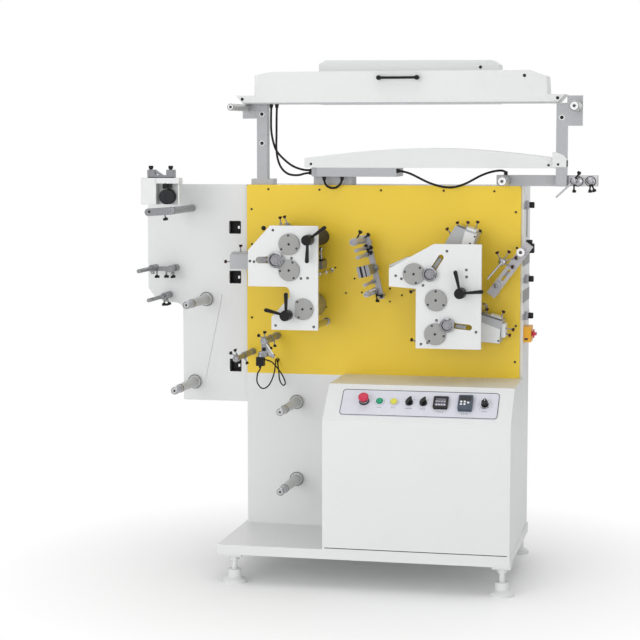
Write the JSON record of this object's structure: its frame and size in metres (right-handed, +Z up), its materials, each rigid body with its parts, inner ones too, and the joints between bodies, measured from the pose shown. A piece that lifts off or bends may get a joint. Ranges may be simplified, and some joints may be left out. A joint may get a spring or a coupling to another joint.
{
  "type": "flexographic printing press",
  "caption": "Upright narrow-web flexographic label press: yellow plate with two print heads, infeed wing, web spindles, hooded top frame and a sloping control console on levelling feet.",
  "frame": {"origin": "on the floor, under the middle of the machine's bounding box", "axes": "+Z up, the operator stands at -Y in front of the yellow plate, +X to the operator's right"},
  "size_m": [1.651, 0.761, 1.841],
  "materials": {
    "light_paint": "satin light grey enamel",
    "grey_paint": "satin mid grey enamel",
    "yellow_paint": "gloss yellow enamel",
    "zinc": "zinc plated",
    "steel": "ground steel",
    "chrome": "bright chrome",
    "aluminium": "turned aluminium",
    "rubber": "dark rubber",
    "black_plastic": "matte black",
    "panel_foil": "light lavender-grey panel foil",
    "red_plastic": "gloss red",
    "green_plastic": "gloss green",
    "yellow_plastic": "gloss yellow",
    "cable": "black cable sheath"
  },
  "bodies": {
    "press": {"base_tray": "light_paint", "levelling_feet": "zinc", "body_shell": "light_paint", "gear_cover": "light_paint", "front_plate": "yellow_paint", "wing_plate": "light_paint", "wing_cover": "light_paint", "wing_latches": "black_plastic", "console_housing": "light_paint", "console_panel": "panel_foil", "meter_counter": "black_plastic", "timer_display": "black_plastic", "left_head_plate": "light_paint", "right_head_plate": "light_paint", "head_stays": "chrome", "head_rollers": "steel", "bearing_caps": "grey_paint", "pressure_rings": "chrome", "left_ink_box": "grey_paint", "right_ink_boxes": "grey_paint", "guide_bar": "steel", "edge_sensor": "steel", "register_arm": "steel", "sensor_stand": "steel", "spindle_flanges": "steel", "left_post": "grey_paint", "right_post": "grey_paint", "cross_beam": "grey_paint", "front_hood": "light_paint", "rear_hood": "light_paint", "lower_hood": "light_paint", "hood_handle": "black_plastic", "junction_tray": "grey_paint", "infeed_unit": "light_paint", "clamp_rods": "chrome", "isolator_box": "yellow_plastic", "side_latches": "chrome", "lamp_cable": "cable", "power_cable": "cable", "loop_cable": "cable", "outfeed_cable": "cable", "fibre_cable": "cable", "fibre_return_cable": "cable"},
    "upper wing spindle": {"wing_spindle_upper": "steel"},
    "lower wing spindle": {"wing_spindle_lower": "steel"},
    "upper body spindle": {"body_spindle_upper": "steel"},
    "lower body spindle": {"body_spindle_lower": "steel"},
    "left top roller": {"left_top_roller": "aluminium"},
    "right top roller": {"right_top_roller": "aluminium"},
    "beam roller": {"beam_roller": "aluminium"},
    "upper left lever": {"upper_left_lever": "black_plastic"},
    "lower left lever": {"lower_left_lever": "black_plastic"},
    "right lever": {"right_lever": "black_plastic"},
    "emergency stop": {"emergency_stop": "red_plastic"},
    "start button": {"start_button": "green_plastic"},
    "stop button": {"stop_button": "yellow_plastic"},
    "left selector": {"selector_left": "black_plastic"},
    "right selector": {"selector_right": "black_plastic"},
    "speed knob": {"speed_knob": "black_plastic"},
    "isolator knob": {"isolator_knob": "red_plastic"}
  },
  "joints": [
    {"name": "wing_spindle_upper_turn", "type": "hinge", "parent": "press", "child": "upper wing spindle", "pos_m": [-0.5995, -0.0895, 0.968], "axis": [0, -1, 0], "continuous": true},
    {"name": "wing_spindle_lower_turn", "type": "hinge", "parent": "press", "child": "lower wing spindle", "pos_m": [-0.6455, -0.0895, 0.66], "axis": [0, -1, 0], "continuous": true},
    {"name": "body_spindle_upper_turn", "type": "hinge", "parent": "press", "child": "upper body spindle", "pos_m": [-0.25353, -0.0895, 0.598], "axis": [0, -1, 0], "continuous": true},
    {"name": "body_spindle_lower_turn", "type": "hinge", "parent": "press", "child": "lower body spindle", "pos_m": [-0.25353, -0.0895, 0.313], "axis": [0, -1, 0], "continuous": true},
    {"name": "left_top_roller_turn", "type": "hinge", "parent": "press", "child": "left top roller", "pos_m": [-0.4385, -0.0895, 1.667], "axis": [0, -1, 0], "continuous": true},
    {"name": "right_top_roller_turn", "type": "hinge", "parent": "press", "child": "right top roller", "pos_m": [0.7555, -0.0895, 1.668], "axis": [0, -1, 0], "continuous": true},
    {"name": "beam_roller_turn", "type": "hinge", "parent": "press", "child": "beam roller", "pos_m": [0.5045, -0.0495, 1.409], "axis": [0, -1, 0], "continuous": true},
    {"name": "upper_left_lever_turn", "type": "hinge", "parent": "press", "child": "upper left lever", "pos_m": [-0.1585, -0.2295, 1.204], "axis": [0, -1, 0], "range_deg": [-40, 40]},
    {"name": "lower_left_lever_turn", "type": "hinge", "parent": "press", "child": "lower left lever", "pos_m": [-0.2365, -0.2295, 0.938], "axis": [0, -1, 0], "range_deg": [-40, 40]},
    {"name": "right_lever_turn", "type": "hinge", "parent": "press", "child": "right lever", "pos_m": [0.3785, -0.2295, 1.027], "axis": [0, -1, 0], "range_deg": [-40, 40]},
    {"name": "emergency_stop_press", "type": "slide", "parent": "press", "child": "emergency stop", "axis": [0, 0.6793, -0.7339], "range_m": [0, 0.004], "stiffness_N_per_m": 400},
    {"name": "start_button_press", "type": "slide", "parent": "press", "child": "start button", "axis": [0, 0.6793, -0.7339], "range_m": [0, 0.004], "stiffness_N_per_m": 300},
    {"name": "stop_button_press", "type": "slide", "parent": "press", "child": "stop button", "axis": [0, 0.6793, -0.7339], "range_m": [0, 0.004], "stiffness_N_per_m": 300},
    {"name": "selector_left_turn", "type": "hinge", "parent": "press", "child": "left selector", "pos_m": [0.2165, -0.31984, 0.65324], "axis": [0, -0.6793, 0.7339], "range_deg": [-45, 45]},
    {"name": "selector_right_turn", "type": "hinge", "parent": "press", "child": "right selector", "pos_m": [0.2655, -0.31984, 0.65324], "axis": [0, -0.6793, 0.7339], "range_deg": [-45, 45]},
    {"name": "speed_knob_turn", "type": "hinge", "parent": "press", "child": "speed knob", "pos_m": [0.4775, -0.31984, 0.65324], "axis": [0, -0.6793, 0.7339], "range_deg": [-135, 135]},
    {"name": "isolator_turn", "type": "hinge", "parent": "press", "child": "isolator knob", "pos_m": [0.5885, 0.0805, 0.86], "axis": [1, 0, 0], "range_deg": [0, 90]}
  ]
}
